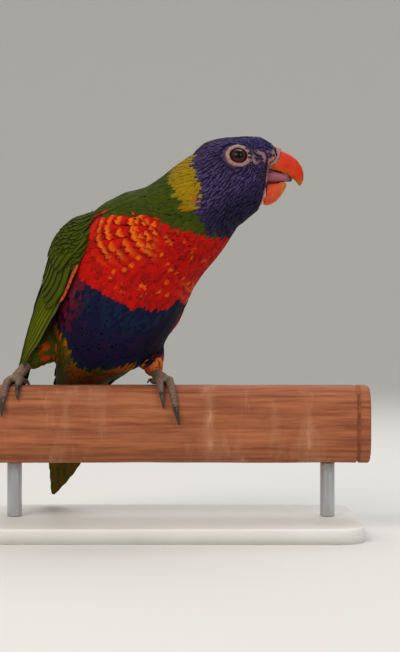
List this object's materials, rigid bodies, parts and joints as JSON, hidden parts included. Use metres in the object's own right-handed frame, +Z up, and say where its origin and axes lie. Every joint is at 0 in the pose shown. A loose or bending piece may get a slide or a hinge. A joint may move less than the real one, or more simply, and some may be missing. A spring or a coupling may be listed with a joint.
{
  "type": "rainbow lorikeet display model",
  "caption": "Life-size still model of a rainbow lorikeet that grips a short wooden perch, bill open, head turned to its left, on a plain display stand.",
  "frame": {"origin": "middle of the underside of the stand's base, on the floor", "axes": "+Z up, the perch runs along X, the bird's breast faces -Y and its bill points to +X"},
  "size_m": [0.216, 0.1121, 0.2168],
  "materials": {
    "plumage_breast": "matte feathers, red barred with orange",
    "plumage_green": "soft feathers with a slight sheen, green",
    "plumage_head": "fine streaked feathers, violet blue",
    "tail_feathers": "smooth vanes, olive green",
    "bill": "polished horn, orange red",
    "bare_skin": "dull bare skin, grey pink",
    "tongue": "moist, mauve with a dark tip",
    "eye": "wet, dark red brown iris",
    "scaly_skin": "small dry scales, grey brown",
    "claw": "smooth horn, near black",
    "perch_wood": "worn, stained red brown, matte",
    "stand_paint": "satin off-white paint",
    "rod_steel": "brushed"
  },
  "bodies": {
    "root": {"torso": "plumage_breast", "neck": "plumage_green", "head": "plumage_head", "cere": "bare_skin", "bill_upper": "bill", "bill_lower": "bill", "tongue": "tongue", "eye_right": "eye", "eye_left": "eye", "thigh_right": "plumage_green", "foot_right": "scaly_skin", "toe_right_1_rear_inner": "scaly_skin", "claw_right_1_rear_inner": "claw", "toe_right_2_front_inner": "scaly_skin", "claw_right_2_front_inner": "claw", "toe_right_3_front_outer": "scaly_skin", "claw_right_3_front_outer": "claw", "toe_right_4_rear_outer": "scaly_skin", "claw_right_4_rear_outer": "claw", "thigh_left": "plumage_green", "foot_left": "scaly_skin", "toe_left_1_rear_inner": "scaly_skin", "claw_left_1_rear_inner": "claw", "toe_left_2_front_inner": "scaly_skin", "claw_left_2_front_inner": "claw", "toe_left_3_front_outer": "scaly_skin", "claw_left_3_front_outer": "claw", "toe_left_4_rear_outer": "scaly_skin", "claw_left_4_rear_outer": "claw", "tail": "tail_feathers", "wing_right": "plumage_green", "wing_left": "plumage_green", "perch": "perch_wood", "stand_base": "stand_paint", "stand_rod_right": "rod_steel", "stand_rod_left": "rod_steel"}
  },
  "joints": []
}
